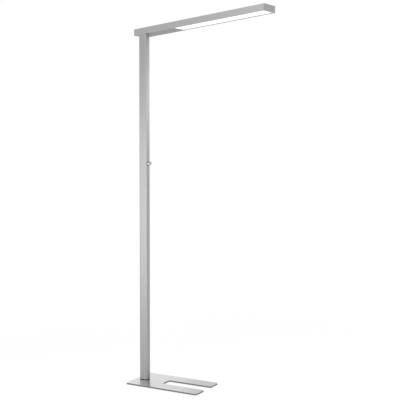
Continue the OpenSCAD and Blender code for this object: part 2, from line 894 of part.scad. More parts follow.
// The divider stands between the sills, at the window's near edge
module divider() {
    w = inner_head_w - 2 * rib_size - 2 * slide_gap;
    foot_w = light_w - 2 * slide_gap;
    near = bay_end - divider_t;
    color("silver") difference() {
        union() {
            translate([near, head_mid - w / 2, floor_z])
                cube([divider_t, w, ledge_z - head_wall - slide_gap]);
            translate([near, head_mid - foot_w / 2, floor_z])
                cube([divider_t, foot_w, tray_seat - rib_size - head_wall - slide_gap]);
        }
        for (side = [-1, 1])
            translate([near - past, head_mid + side * led_board_pitch / 2, lead_z]) along_x()
                cylinder(d = lead_d + 2 * slide_gap, h = divider_t + 2 * past);
        translate([near - past, head_mid, upper_lead_z]) along_x()
            cylinder(d = lead_d + 2 * slide_gap, h = divider_t + 2 * past);
    }
}

// ---------- light ----------

module led_tray() {
    w = inner_head_w - 2 * slide_gap;
    color("lightgray") difference() {
        translate([tray_x, head_mid - w / 2, head_bottom + tray_seat]) cube([tray_l, w, tray_t]);
        tray_screw_places() translate([0, 0, -tray_t - past])
            cylinder(d = small_screw_d + 2 * screw_gap, h = tray_t + 2 * past);
    }
}

module tray_screw_places() {
    for (side = [-1, 1], x = [tray_screw_end, tray_l / 2, tray_l - tray_screw_end])
        translate([tray_x + x, head_mid + side * rib_axis_y, head_bottom + tray_seat + tray_t]) children();
}

module tray_screws() {
    color("gray") tray_screw_places() button_screw(small_screw_d, tray_screw_l);
}

// One board with its row of LEDs, facing up from the origin
module led_board() {
    pitch = led_board_l / led_count;
    translate([0, -led_board_w / 2, 0]) cube([led_board_l, led_board_w, board_t]);
    for (i = [0 : led_count - 1])
        translate([(i + 0.5) * pitch - led_size / 2, -led_size / 2, board_t - weld])
            cube([led_size, led_size, led_t + weld]);
}

module direct_led_boards() {
    color("ivory") for (side = [-1, 1])
        translate([led_board_x, head_mid + side * led_board_pitch / 2, head_bottom + tray_seat])
            mirror([0, 0, 1]) led_board();
}

module indirect_led_board() {
    color("ivory") translate([led_board_x, head_mid, head_bottom + tray_seat + tray_t]) led_board();
}

// The blocks at the boards' near ends that the leads plug into
module board_connectors() {
    color("white") {
        for (side = [-1, 1])
            translate([led_board_x, head_mid + side * led_board_pitch / 2 - board_connector_w / 2,
                lead_z - board_connector_t / 2])
                cube([board_connector_l, board_connector_w, board_connector_t]);
        translate([led_board_x, head_mid - board_connector_w / 2, head_bottom + tray_seat + tray_t + board_t])
            cube([board_connector_l, board_connector_w, board_connector_w / 2]);
    }
}

// Leads from the driver through the divider to the boards' connectors
module led_leads() {
    from_z = floor_z + driver_h - lead_straight;
    color("red") {
        for (side = [-1, 1])
            translate([driver_x1, head_mid + side * led_board_pitch / 2, lead_z]) along_x()
                cylinder(d = lead_d, h = led_board_x - driver_x1);
        swept_tube([
            [driver_x1, head_mid, from_z],
            [driver_x1 + lead_straight, head_mid, from_z],
            [driver_x1 + driver_gap / 2, head_mid, (from_z + upper_lead_z) / 2],
            [bay_end - divider_t - lead_straight, head_mid, upper_lead_z],
            [led_board_x, head_mid, upper_lead_z]], lead_d, [0, 1, 0]);
    }
}

// ---------- driver bay ----------

module driver() {
    color("white") difference() {
        union() {
            translate([driver_x0, head_mid - driver_w / 2, floor_z])
                cube([driver_l, driver_w, driver_h]);
            translate([driver_x0 - ear_l, head_mid - driver_w / 4, floor_z])
                cube([driver_l + 2 * ear_l, driver_w / 2, ear_t]);
        }
        driver_screw_places() translate([0, 0, -past])
            cylinder(d = small_screw_d + 2 * screw_gap, h = ear_t + 2 * past);
    }
}

module driver_screw_places() {
    for (x = [driver_x0 - ear_l / 2, driver_x1 + ear_l / 2])
        translate([x, head_mid, floor_z]) children();
}

module driver_screws() {
    color("gray") driver_screw_places() translate([0, 0, ear_t]) button_screw(small_screw_d, driver_screw_l);
}

module head_terminal() {
    color("white") difference() {
        translate([terminal_x0, terminal_y0, floor_z]) cube([terminal_l, terminal_w, terminal_h]);
        for (i = [0.5 : pole_count - 0.5])
            translate([terminal_x0 + i * terminal_l / pole_count, terminal_y0 + terminal_w / 2,
                floor_z + terminal_h * 2 / 3])
                cylinder(d = wire_hole_d, h = terminal_h);
    }
}

// Leads from the head terminal to the driver's near end
module driver_leads() {
    x0 = terminal_x0 + terminal_l;
    color("gray") for (side = [-1, 1])
        translate([x0, terminal_y0 + (terminal_w + side * driver_lead_pitch) / 2, cable_z]) along_x()
            cylinder(d = driver_lead_d, h = driver_x0 - x0);
}

// ---------- parts by name ----------

base_pads();
base_plate();
base_bolts();
foot_spacer();
foot_block();
foot_screws();
column_profile();
cable_gland();
gland_nut();
inlet_terminal();
column_cable();
dimmer_body();
dimmer_cover();
dimmer_washer();
dimmer_nut();
dimmer_plunger();
dimmer_spring();
dimmer_shaft();
dimmer_knob();
knob_grub_screw();
dimmer_board();
dimmer_connector();
control_cable();
head_block();
head_block_screws();
clamp_plate();
clamp_screws();
head_housing();
end_cap_near();
end_cap_far();
direct_diffuser();
indirect_cover();
top_cover();
led_tray();
tray_screws();
direct_led_boards();
indirect_led_board();
divider();
driver();
driver_screws();
head_terminal();
driver_leads();
board_connectors();
led_leads();
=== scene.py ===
"""The looks of a tall office floor lamp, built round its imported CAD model."""

import json
import math

import bmesh
import bpy
from mathutils import Matrix, Vector


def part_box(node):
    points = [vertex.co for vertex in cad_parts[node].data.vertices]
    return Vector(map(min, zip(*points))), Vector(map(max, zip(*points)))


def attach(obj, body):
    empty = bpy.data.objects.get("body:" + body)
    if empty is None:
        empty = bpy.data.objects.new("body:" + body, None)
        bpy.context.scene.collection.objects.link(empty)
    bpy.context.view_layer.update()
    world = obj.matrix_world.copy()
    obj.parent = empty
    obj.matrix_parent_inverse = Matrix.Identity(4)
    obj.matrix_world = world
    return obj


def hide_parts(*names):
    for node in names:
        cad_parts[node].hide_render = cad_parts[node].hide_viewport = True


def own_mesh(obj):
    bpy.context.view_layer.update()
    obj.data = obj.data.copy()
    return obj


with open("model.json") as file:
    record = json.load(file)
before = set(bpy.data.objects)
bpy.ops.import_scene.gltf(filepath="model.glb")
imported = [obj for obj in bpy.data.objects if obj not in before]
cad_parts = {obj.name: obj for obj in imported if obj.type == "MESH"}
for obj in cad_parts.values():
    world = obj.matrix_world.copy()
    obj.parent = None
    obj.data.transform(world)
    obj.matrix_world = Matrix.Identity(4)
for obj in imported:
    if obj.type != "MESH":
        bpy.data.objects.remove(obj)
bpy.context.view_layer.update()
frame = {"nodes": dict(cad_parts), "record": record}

scene = bpy.context.scene
MM = 0.001

# ---------- camera ----------

# The camera looks a little down; its angles are in radians. The rig that it stands on slants
# the picture along its width, as the photograph is slanted: uprights are upright there and
# level lines lean.
VIEW_TURN, VIEW_PITCH, VIEW_ROLL = 0.6168, -0.0551, 0.0017
CAMERA_AT = Vector((2.5793, -3.1099, 1.2141))
LENS = 65.696
SLANT = -0.0652


def make_camera():
    turned_round = Matrix.Rotation(VIEW_TURN, 4, "Z")
    tilted = Matrix.Rotation(math.pi / 2 + VIEW_PITCH, 4, "X")
    rolled = Matrix.Rotation(VIEW_ROLL, 4, "Z")
    slanted = Matrix.Identity(4)
    slanted[1][0] = SLANT
    data = bpy.data.cameras.new("camera")
    data.lens = LENS
    data.clip_end = 100
    camera = bpy.data.objects.new("camera", data)
    rig = bpy.data.objects.new("camera_rig", None)
    scene.collection.objects.link(camera)
    scene.collection.objects.link(rig)
    camera.parent = rig
    place = Matrix.Translation(CAMERA_AT) @ turned_round @ tilted @ rolled
    camera.matrix_parent_inverse = place @ slanted
    scene.camera = camera


make_camera()

# ---------- shader helpers ----------


class Wire:
    """A socket that takes part in sums: each operator adds its Math node."""

    def __init__(self, tree, socket):
        self.tree = tree
        self.socket = socket

    def maths(self, operation, *values):
        node = self.tree.nodes.new("ShaderNodeMath")
        node.operation = operation
        for socket, value in zip(node.inputs, values):
            plug(self.tree, socket, value)
        return Wire(self.tree, node.outputs[0])

    def __add__(self, other):
        return self.maths("ADD", self, other)

    def __radd__(self, other):
        return self.maths("ADD", other, self)

    def __sub__(self, other):
        return self.maths("SUBTRACT", self, other)

    def __rsub__(self, other):
        return self.maths("SUBTRACT", other, self)

    def __mul__(self, other):
        return self.maths("MULTIPLY", self, other)

    def __rmul__(self, other):
        return self.maths("MULTIPLY", other, self)

    def __truediv__(self, other):
        return self.maths("DIVIDE", self, other)

    def __rtruediv__(self, other):
        return self.maths("DIVIDE", other, self)

    def __lt__(self, other):
        return self.maths("LESS_THAN", self, other)

    def __gt__(self, other):
        return self.maths("GREATER_THAN", self, other)

    def __abs__(self):
        return self.maths("ABSOLUTE", self)


def plug(tree, socket, value):
    """Links a wire to a socket, or sets a plain value on it."""
    if isinstance(value, Wire):
        tree.links.new(value.socket, socket)
    else:
        socket.default_value = value


class Finish:
    """One material: plain values sit on the shader, and wires vary over the surface."""

    def __init__(self, name, **plain):
        self.material = bpy.data.materials.new(name)
        self.material.use_nodes = True
        self.tree = self.material.node_tree
        self.shader = self.tree.nodes["Principled BSDF"]
        for key, value in plain.items():
            self.feed(key.replace("_", " ").title().replace("Ior", "IOR"), value)
        self.point = self.node("ShaderNodeTexCoord", output="Object")

    def feed(self, socket, value):
        if isinstance(value, tuple) and len(value) == 3:
            value = (*value, 1.0)
        plug(self.tree, self.shader.inputs[socket], value)

    def node(self, kind, settings=None, sockets=None, output=0):
        """Adds any node: its settings come first, then its sockets' values or wires."""
        node = self.tree.nodes.new(kind)
        for key, value in (settings or {}).items():
            setattr(node, key, value)
        for key, value in (sockets or {}).items():
            plug(self.tree, node.inputs[key], value)
        return Wire(self.tree, node.outputs[output])

    def scaled(self, factors):
        """The surface's place, in metres, times a factor for each axis."""
        return self.node(
            "ShaderNodeVectorMath", {"operation": "MULTIPLY"}, {0: self.point, 1: factors}
        )

    def noise(self, factors, detail=2.0, rough=0.5):
        """Noise from -0.5 to 0.5 whose grain is one metre divided by the factors."""
        noise = self.node(
            "ShaderNodeTexNoise",
            None,
            {"Vector": self.scaled(factors), "Scale": 1.0, "Detail": detail, "Roughness": rough},
        )
        return noise - 0.5

    def axis(self, name, vector=None):
        """One coordinate of the surface's place, in metres."""
        return self.node("ShaderNodeSeparateXYZ", None, {0: vector or self.point}, output=name)

    def facing(self, name):
        """How far the surface faces along one axis, from 0 to 1."""
        normal = self.node("ShaderNodeNewGeometry", output="Normal")
        return abs(self.axis(name, normal))

    def between(self, factor, low, high):
        """A colour between two colours."""
        return self.node(
            "ShaderNodeMix",
            {"data_type": "RGBA"},
            {0: factor, 6: colour4(low), 7: colour4(high)},
            output=2,
        )

    def bump(self, height, strength, depth):
        """Feeds the shader's normal from a height."""
        bumped = self.node(
            "ShaderNodeBump", None, {"Height": height, "Strength": strength, "Distance": depth}
        )
        self.feed("Normal", bumped)


def colour4(value):
    return value if isinstance(value, Wire) else (*value, 1.0)


def tinted(colour, factor):
    return tuple(channel * factor for channel in colour)


# ---------- finishes ----------

# Factors of the noise along and across a brushing grain
HAIR_ALONG, HAIR_ACROSS = 9.0, 1500.0
BAND_ALONG, BAND_ACROSS = 1.6, 150.0


def grain(along, low, high):
    """Noise factors with the low one along the named axis."""
    return tuple(low if name == along else high for name in "XYZ")


def brushed(name, colour, along, roughness=0.38, hair=0.16, clouds_by=0.5, rim=1.0):
    """Metal with a straight brushed grain along one axis.

    The tone varies by up to `hair` either way, and `rim` tints the gloss at grazing angles.
    """
    finish = Finish(name, metallic=1.0, specular_tint=(rim, rim, rim))
    hairs = finish.noise(grain(along, HAIR_ALONG, HAIR_ACROSS), 3.0, 0.6)
    bands = finish.noise(grain(along, BAND_ALONG, BAND_ACROSS), 2.0)
    clouds = finish.noise((5.0, 5.0, 5.0))
    tone = 0.5 + hairs * 1.2 + bands * 1.2 + clouds * clouds_by
    dark, light = tinted(colour, 1 - hair), tinted(colour, 1 + hair)
    finish.feed("Base Color", finish.between(tone, dark, light))
    finish.feed("Roughness", roughness + hairs * 0.16 + bands * 0.06 + clouds * 0.05)
    finish.bump(hairs, 0.25, 0.00003)
    return finish


def anodised(name, colour, along, roughness=0.4, clouds_by=0.5, rim=1.0):
    return brushed(name, colour, along, roughness, 0.05, clouds_by, rim).material


def base_steel():
    """The plate is brushed along its length; its side faces are darker, partly the tone of cut edges and
    partly painted shade.
    """
    steel = (0.49, 0.495, 0.49)
    finish = brushed("brushed base steel", steel, "X", 0.27)
    brushed_tone_socket = finish.shader.inputs["Base Color"].links[0].from_socket
    # Faces that don't face up or down get a darker tone: partly a cut edge's own tone, partly painted
    # shade where the plate's edges turn away from the light.
    edge = finish.facing("Z") < 0.5
    cut = finish.noise((40.0, 40.0, 900.0), 2.0)
    cut_edge_and_shade_tone = finish.between(0.5 + cut, (0.15, 0.15, 0.145), (0.22, 0.22, 0.21))
    finish.feed("Base Color", finish.between(edge, Wire(finish.tree, brushed_tone_socket), cut_edge_and_shade_tone))
    return finish.material


def milled(name, colour, roughness=0.32):
    """Metal with the fine steps that a cutter leaves."""
    finish = Finish(name, metallic=1.0)
    marks = finish.node(
        "ShaderNodeTexWave",
        {"wave_type": "BANDS", "bands_direction": "DIAGONAL"},
        {"Vector": finish.scaled((420.0, 420.0, 420.0)), "Scale": 1.0, "Distortion": 1.5, "Detail": 1.0},
        output=1,
    )
    specks = finish.noise((700.0, 700.0, 700.0), 3.0)
    finish.feed("Base Color", finish.between(marks, tinted(colour, 0.92), tinted(colour, 1.08)))
    finish.feed("Roughness", roughness + specks * 0.2)
    finish.bump(marks, 0.1, 0.00004)
    return finish.material


def plated(name, colour, roughness):
    """Plated or blackened steel, a little mottled."""
    finish = Finish(name, metallic=1.0)
    mottle = finish.noise((260.0, 260.0, 260.0), 3.0)
    fine = finish.noise((2600.0, 2600.0, 2600.0), 2.0)
    finish.feed("Base Color", finish.between(0.5 + mottle, tinted(colour, 0.82), tinted(colour, 1.15)))
    finish.feed("Roughness", roughness + mottle * 0.25 + fine * 0.1)
    finish.bump(fine, 0.1, 0.00002)
    return finish.material


def moulded(name, colour, roughness, fineness=2200.0, depth=0.00004):
    """Plastic or rubber with the fine grain of its mould."""
    finish = Finish(name)
    texture = finish.noise((fineness, fineness, fineness), 2.0)
    clouds = finish.noise((30.0, 30.0, 30.0), 2.0)
    finish.feed("Base Color", finish.between(0.5 + clouds, tinted(colour, 0.9), tinted(colour, 1.1)))
    finish.feed("Roughness", roughness + texture * 0.15 + clouds * 0.1)
    finish.bump(texture, 0.3, depth)
    return finish.material


def jacket(name, colour):
    """A cable's jacket, with faint lines from its extrusion."""
    finish = Finish(name)
    lines = finish.noise((2400.0, 2400.0, 30.0), 1.0)
    finish.feed("Base Color", finish.between(0.5 + lines, tinted(colour, 0.85), tinted(colour, 1.15)))
    finish.feed("Roughness", 0.5 + lines * 0.2)
    finish.bump(lines, 0.2, 0.00005)
    return finish.material


def circuit_board():
    """Green solder mask over copper tracks."""
    finish = Finish("green circuit board", coat_weight=0.3, coat_roughness=0.2)
    tracks = finish.node(
        "ShaderNodeTexVoronoi",
        {"feature": "DISTANCE_TO_EDGE"},
        {"Vector": finish.scaled((240.0, 240.0, 240.0)), "Scale": 1.0, "Randomness": 0.2},
    )
    track = tracks < 0.08
    finish.feed("Base Color", finish.between(track, (0.012, 0.1, 0.035), (0.05, 0.24, 0.08)))
    finish.feed("Roughness", 0.45 - track * 0.1)
    finish.bump(track, 0.3, 0.00004)
    return finish.material


def led_board():
    """White solder mask; the packages that stand on it have a yellow middle."""
    finish = Finish("white LED board")
    lo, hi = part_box("indirect_led_board")
    pitch = (hi.x - lo.x) / LED_COUNT
    along = (finish.axis("X") - lo.x) / pitch
    step = abs(along.maths("FRACT", along) - 0.5) * pitch
    rows = [finish.axis("Y") - place for place in LED_ROWS]
    near = abs(rows[0]).maths("MINIMUM", abs(rows[0]), abs(rows[1]))
    near = near.maths("MINIMUM", near, abs(rows[2]))
    package = near.maths("MAXIMUM", near, step) < LED_HALF
    dust = finish.noise((900.0, 900.0, 900.0), 2.0)
    mask = finish.between(0.5 + dust, (0.84, 0.84, 0.8), (0.9, 0.9, 0.87))
    finish.feed("Base Color", finish.between(package, mask, (0.9, 0.62, 0.1)))
    finish.feed("Roughness", 0.45 + dust * 0.1)
    finish.bump(dust, 0.1, 0.00003)
    return finish.material


def opal(name, glow, edge_fall):
    """Opal plastic lit from behind: the light falls off towards the edges of its window."""
    finish = Finish(name, emission_strength=1.0, specular_ior_level=0.3)
    lo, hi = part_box("direct_diffuser")
    middle = (lo + hi) / 2
    across = abs(finish.axis("Y") - middle.y) / (hi.y - lo.y) * 2
    along = abs(finish.axis("X") - middle.x) / (hi.x - lo.x) * 2
    far_across = across.maths("POWER", across, 8.0)
    far_along = along.maths("POWER", along, 60.0)
    far = across.maths("MAXIMUM", far_across, far_along)
    fall = 1.0 - far * edge_fall
    haze = finish.noise((14.0, 14.0, 14.0), 2.0)
    light = fall * glow + haze * 0.01
    finish.feed("Emission Color", finish.between(light, (0.0, 0.0, 0.0), (1.0, 1.0, 0.995)))
    finish.feed("Base Color", finish.between(0.5 + haze, (0.76, 0.76, 0.75), (0.82, 0.82, 0.81)))
    finish.feed("Roughness", 0.45 + finish.noise((1800.0, 1800.0, 1800.0)) * 0.1)
    return finish.material


def turned_knob():
    """Satin aluminium with the rings that turning leaves on the face; the side's colour carries a painted
    highlight and the face's a painted shade.
    """
    # Painted light: the side is given a lighter colour and the face a darker one, as the side catches the
    # light and the face lies in shade.
    shaded_face_colour, highlit_side_colour = (0.38, 0.38, 0.37), (0.52, 0.52, 0.51)
    finish = Finish("turned aluminium", metallic=1.0)
    lo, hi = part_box("dimmer_knob")
    away = [finish.axis(name) - ((lo + hi) / 2)["XYZ".index(name)] for name in "YZ"]
    radius = away[0].maths("SQRT", away[0] * away[0] + away[1] * away[1])
    rings = finish.node(
        "ShaderNodeTexNoise",
        {"noise_dimensions": "1D"},
        {"W": radius * 6500.0, "Scale": 1.0, "Detail": 2.0},
    )
    lines = finish.noise((5200.0, 60.0, 60.0), 2.0)
    face = finish.facing("X") > 0.6
    marks = face * (rings - 0.5) + (1 - face) * lines
    # The facing mask picks the painted highlight for the side and the painted shade for the face.
    low, high = [
        finish.between(face, tinted(highlit_side_colour, tone), tinted(shaded_face_colour, tone)) for tone in (0.85, 1.15)
    ]
    finish.feed("Base Color", finish.between(0.5 + marks, low, high))
    finish.feed("Roughness", 0.3 + marks * 0.2)
    finish.bump(marks, 0.4, 0.00003)
    return finish.material


LED_COUNT = 24
LED_HALF, LED_ROW_PITCH = 1.2 * MM, 20 * MM
tray_lo, tray_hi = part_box("led_tray")
LED_ROWS = [(tray_lo.y + tray_hi.y) / 2 + side * LED_ROW_PITCH for side in (-1, 0, 1)]

FINISHES = {
    "base_steel": base_steel(),
    "column_aluminium": anodised("anodised column", (0.338, 0.34, 0.33), "Z"),
    "head_aluminium": anodised("anodised head", (0.37, 0.374, 0.377), "X", 0.4, 0.2, 0.6),
    "cap_aluminium": anodised("anodised end cap", (0.345, 0.345, 0.345), "Y"),
    "knob_aluminium": turned_knob(),
    "block_aluminium": milled("milled aluminium", (0.6, 0.6, 0.6)),
    "tray_aluminium": brushed("mill finish sheet", (0.72, 0.72, 0.72), "X", 0.4, 0.08).material,
    "zinc_screws": plated("zinc plate", (0.58, 0.58, 0.57), 0.34),
    "black_screws": plated("black oxide", (0.06, 0.06, 0.06), 0.4),
    # The foot spacer is black: partly its own colour, partly painted shade for the dark gap at the
    # column's foot.
    "black_spacer": moulded("matt black spacer with painted gap shade", (0.03, 0.03, 0.03), 0.7),
    "pad_rubber": moulded("pad rubber", (0.07, 0.07, 0.07), 0.85, 1400.0, 0.0001),
    "black_plastic": moulded("black plastic", (0.04, 0.04, 0.04), 0.5),
    "white_plastic": moulded("white plastic", (0.8, 0.8, 0.78), 0.45),
    "cable_jacket": jacket("grey jacket", (0.1, 0.1, 0.1)),
    "lead_red": jacket("red insulation", (0.5, 0.03, 0.03)),
    "dimmer_metal": milled("pressed steel", (0.5, 0.5, 0.48), 0.4),
    "circuit_board": circuit_board(),
    "led_board": led_board(),
    "opal_direct": opal("lit opal window", 0.7, 0.1),
    "opal_indirect": opal("opal top", 0.1, 0.1),
}

SLOT_OF = {part["node"]: part["material_slot"] for part in frame["record"]["subparts"]}
BODY_OF = {
    node: body
    for body, nodes in frame["record"]["behaviour"]["bodies"].items()
    for node in nodes
}

for node_name, shown in frame["nodes"].items():
    for spot in shown.material_slots:
        spot.material = FINISHES[SLOT_OF[node_name]]

# ---------- shape helpers ----------


# Edges bent by more degrees than this stay sharp
SHARP = 35.0
# In a CAD node's skin, faces within the first angle are one face, and edges past the second
# one can be broken
FLAT, BREAKABLE = 0.5, 50.0
SAME_POINT = 0.001 * MM


def put(name, shape, node):
    """Turns a bmesh into the piece that stands for a CAD node."""
    bmesh.ops.recalc_face_normals(shape, faces=shape.faces)
    mesh = bpy.data.meshes.new(name)
    shape.to_mesh(mesh)
    shape.free()
    mesh.shade_smooth()
    mesh.set_sharp_from_angle(angle=math.radians(SHARP))
    piece = bpy.data.objects.new(name, mesh)
    scene.collection.objects.link(piece)
    flat = piece.modifiers.new("flat faces stay flat", "WEIGHTED_NORMAL")
    flat.keep_sharp = True
    mesh.materials.append(FINISHES[SLOT_OF[node]])
    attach(piece, BODY_OF[node])
    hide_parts(node)
    return piece


def outline(corners, steps=10):
    """Points round a closed plan, anticlockwise. Each corner is (x, y, radius)."""
    points = []
    for i, (x, y, r) in enumerate(corners):
        here = Vector((x, y))
        back = (Vector(corners[i - 1][:2]) - here).normalized()
        ahead = (Vector(corners[(i + 1) % len(corners)][:2]) - here).normalized()
        half = back.angle(ahead) / 2
        centre = here + (back + ahead).normalized() * (r / math.sin(half))
        first = here + back * (r / math.tan(half)) - centre
        last = here + ahead * (r / math.tan(half)) - centre
        start = math.atan2(first.y, first.x)
        turn = (math.atan2(last.y, last.x) - start + math.pi) % math.tau - math.pi
        for k in range(steps + 1):
            angle = start + turn * k / steps
            points.append(centre + r * Vector((math.cos(angle), math.sin(angle))))
    return points


def drawn_in(points, gap):
    """An anticlockwise plan, drawn in by a gap."""
    result = []
    for i, point in enumerate(points):
        before = (point - points[i - 1]).normalized()
        after = (points[(i + 1) % len(points)] - point).normalized()
        a, b = Vector((-before.y, before.x)), Vector((-after.y, after.x))
        result.append(point + (a + b) * (gap / (1 + a.dot(b))))
    return result


def rectangle(lo, hi, radius, steps=10):
    """The plan of a rectangle with four equal corners."""
    corners = [(lo.x, lo.y), (hi.x, lo.y), (hi.x, hi.y), (lo.x, hi.y)]
    return outline([(x, y, radius) for x, y in corners], steps)


def rings_joined(shape, rings, closed=False):
    """Walls between rings of the same number of points."""
    pairs = list(zip(rings, rings[1:]))
    if closed:
        pairs.append((rings[-1], rings[0]))
    for low, high in pairs:
        for k in range(len(low)):
            n = (k + 1) % len(low)
            shape.faces.new((low[k], low[n], high[n], high[k]))


def slab(plan, z0, z1, edge, steps=3):
    """A plate of a given plan whose rims are rounded."""
    shape = bmesh.new()
    quarter = [math.pi / 2 * k / steps for k in range(steps + 1)]
    levels = [(edge * (1 - math.sin(a)), z0 + edge * (1 - math.cos(a))) for a in quarter]
    levels += [(gap, z0 + z1 - z) for gap, z in reversed(levels)]
    rings = [[shape.verts.new((*p, z)) for p in drawn_in(plan, gap)] for gap, z in levels]
    rings_joined(shape, rings)
    shape.faces.new(reversed(rings[0]))
    shape.faces.new(rings[-1])
    return shape


def turned(profile, place, sides=64):
    """A solid turned round a closed profile of (radius, height); radius 0 is the axis."""
    shape = bmesh.new()
    rings = []
    for r, h in profile:
        if r == 0:
            rings.append([shape.verts.new((0, 0, h))])
        else:
            angles = [math.tau * k / sides for k in range(sides)]
            rings.append([shape.verts.new((r * math.cos(a), r * math.sin(a), h)) for a in angles])
    for low, high in zip(rings, rings[1:] + rings[:1]):
        if len(low) == 1 and len(high) == 1:
            continue
        for k in range(sides):
            n = (k + 1) % sides
            if len(low) == 1:
                shape.faces.new((low[0], high[n], high[k]))
            elif len(high) == 1:
                shape.faces.new((low[k], low[n], high[0]))
            else:
                shape.faces.new((low[k], low[n], high[n], high[k]))
    shape.transform(place)
    return shape


def eased(node, edge, chosen):
    """The skin of a CAD node with the chosen sharp edges broken."""
    shape = bmesh.new()
    shape.from_mesh(frame["nodes"][node].data)
    bmesh.ops.remove_doubles(shape, verts=shape.verts, dist=SAME_POINT)
    bmesh.ops.dissolve_limit(
        shape, angle_limit=math.radians(FLAT), verts=shape.verts, edges=shape.edges
    )
    sharp = [
        e
        for e in shape.edges
        if e.is_manifold
        and e.is_convex
        and e.calc_face_angle() > math.radians(BREAKABLE)
        and all(chosen(v.co) for v in e.verts)
    ]
    bmesh.ops.bevel(
        shape,
        geom=sharp,
        offset=edge,
        segments=2,
        profile=0.5,
        affect="EDGES",
        clamp_overlap=False,
    )
    return shape


def cut(piece, cutters):
    """Takes the cutters' solids out of a piece, exactly, and removes them."""
    flat = piece.modifiers[0]
    flat.show_viewport = False
    for shape in cutters:
        mesh = bpy.data.meshes.new("cutter")
        bmesh.ops.recalc_face_normals(shape, faces=shape.faces)
        shape.to_mesh(mesh)
        shape.free()
        cutter = bpy.data.objects.new("cutter", mesh)
        scene.collection.objects.link(cutter)
        taken = piece.modifiers.new("cut", "BOOLEAN")
        taken.object = cutter
        taken.solver = "EXACT"
        bpy.context.view_layer.update()
        graph = bpy.context.evaluated_depsgraph_get()
        made = bpy.data.meshes.new_from_object(piece.evaluated_get(graph))
        piece.modifiers.remove(taken)
        piece.data = made
        bpy.data.objects.remove(cutter)
    flat.show_viewport = True
    piece.data.shade_smooth()
    piece.data.set_sharp_from_angle(angle=math.radians(SHARP))


def along_x(x, y, z):
    """A place whose axis points along +X."""
    return Matrix.Translation((x, y, z)) @ Matrix.Rotation(math.pi / 2, 4, "Y")


# ---------- base ----------

REAR_R, PRONG_R, PRONG_INNER_R, SLOT_R = 6 * MM, 14 * MM, 8 * MM, 8 * MM
SLOT_W, SLOT_L = 62 * MM, 278 * MM
PLATE_EDGE = 0.6 * MM
BOLT_AT, BOLT_R, BOLT_HEAD_R, BOLT_HEAD_T = 13 * MM, 4.1 * MM, 7.7 * MM, 3.6 * MM
BOLT_SUNK = 0.3 * MM


def make_base():
    lo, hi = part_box("base_plate")
    slot_end = hi.x - SLOT_L
    half = SLOT_W / 2
    plan = outline(
        [
            (lo.x, lo.y, REAR_R),
            (hi.x, lo.y, PRONG_R),
            (hi.x, -half, PRONG_INNER_R),
            (slot_end, -half, SLOT_R),
            (slot_end, half, SLOT_R),
            (hi.x, half, PRONG_INNER_R),
            (hi.x, hi.y, PRONG_R),
            (lo.x, hi.y, REAR_R),
        ]
    )
    plate = put("base_plate_brushed", slab(plan, lo.z, hi.z, PLATE_EDGE), "base_plate")
    over = 5 * MM
    holes = [
        turned(
            [
                (0, lo.z - over),
                (BOLT_HEAD_R, lo.z - over),
                (BOLT_HEAD_R, lo.z + BOLT_SUNK),
                (BOLT_R, lo.z + BOLT_HEAD_T + BOLT_SUNK),
                (BOLT_R, hi.z + over),
                (0, hi.z + over),
            ],
            Matrix.Translation((side * BOLT_AT, 0, 0)),
            32,
        )
        for side in (-1, 1)
    ]
    cut(plate, holes)


make_base()

# ---------- column ----------

COLUMN_R, COLUMN_WALL = 7.5 * MM, 2.5 * MM
COLUMN_EDGE = 0.3 * MM
SCREW_R, SCREW_HEAD_R, SCREW_HEAD_T = 2.6 * MM, 4.85 * MM, 2.25 * MM
SCREW_HEAD_GAP = 0.1 * MM
GLAND_HOLE_R, KNOB_HOLE_R = 6.1 * MM, 4.6 * MM


def make_column():
    lo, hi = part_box("column_profile")
    shape = bmesh.new()
    plan = rectangle(lo, hi, COLUMN_R, 12)
    bore = drawn_in(plan, COLUMN_WALL)
    levels = [
        (drawn_in(plan, COLUMN_EDGE), lo.z),
        (plan, lo.z + COLUMN_EDGE),
        (plan, hi.z - COLUMN_EDGE),
        (drawn_in(plan, COLUMN_EDGE), hi.z),
        (bore, hi.z),
        (bore, lo.z),
    ]
    rings = [[shape.verts.new((*p, z)) for p in ring] for ring, z in levels]
    rings_joined(shape, rings, closed=True)
    column = put("column_brushed", shape, "column_profile")
    over = 6 * MM
    holes = []
    inset = SCREW_HEAD_R - SCREW_HEAD_GAP
    for screws in ("foot_screws", "head_block_screws"):
        low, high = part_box(screws)
        for z in (low.z + inset, high.z - inset):
            holes.append(
                turned(
                    [
                        (0, -over),
                        (SCREW_HEAD_R, -over),
                        (SCREW_HEAD_R, 0),
                        (SCREW_R, SCREW_HEAD_T),
                        (SCREW_R, over),
                        (0, over),
                    ],
                    along_x(lo.x, 0, z),
                    32,
                )
            )
    low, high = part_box("cable_gland")
    holes.append(round_cutter(GLAND_HOLE_R, lo.x, (low.z + high.z) / 2, over))
    low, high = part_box("dimmer_nut")
    holes.append(round_cutter(KNOB_HOLE_R, hi.x, (low.z + high.z) / 2, over))
    cut(column, holes)


def round_cutter(radius, x, z, over):
    profile = [(0, -over), (radius, -over), (radius, over), (0, over)]
    return turned(profile, along_x(x, 0, z), 32)


make_column()

# ---------- head ----------

CHANNEL_EDGE, CAP_EDGE, SHEET_EDGE = 0.5 * MM, 0.4 * MM, 0.3 * MM


